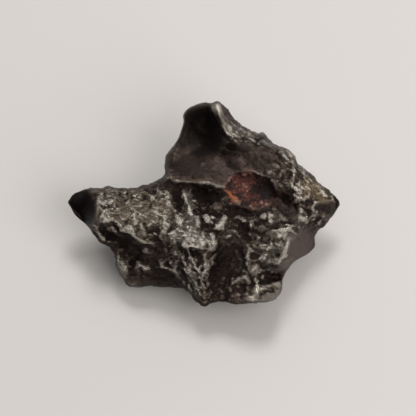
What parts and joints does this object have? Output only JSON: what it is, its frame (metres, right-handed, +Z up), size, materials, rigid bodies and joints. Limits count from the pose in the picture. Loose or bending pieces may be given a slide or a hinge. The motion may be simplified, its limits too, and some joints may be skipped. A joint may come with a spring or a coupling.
{
  "type": "iron meteorite",
  "caption": "Jagged solid fragment of nickel-iron with a pointed horn, a tall scooped lobe, a pitted hollow and thumb-print dents, resting on worn points.",
  "frame": {"origin": "middle of the bounding box's footprint, on the table plane the fragment rests on", "axes": "+X from the long horn to the right tip, +Y away from the viewer towards the tall lobe, +Z up"},
  "size_m": [0.05, 0.0372, 0.0177],
  "materials": {
    "nickel_iron": "dark weathered nickel-iron with a brown-black oxide skin, burnished bare on the crests, with one rust-red pit"
  },
  "bodies": {
    "root": {"meteorite": "nickel_iron"}
  },
  "joints": []
}
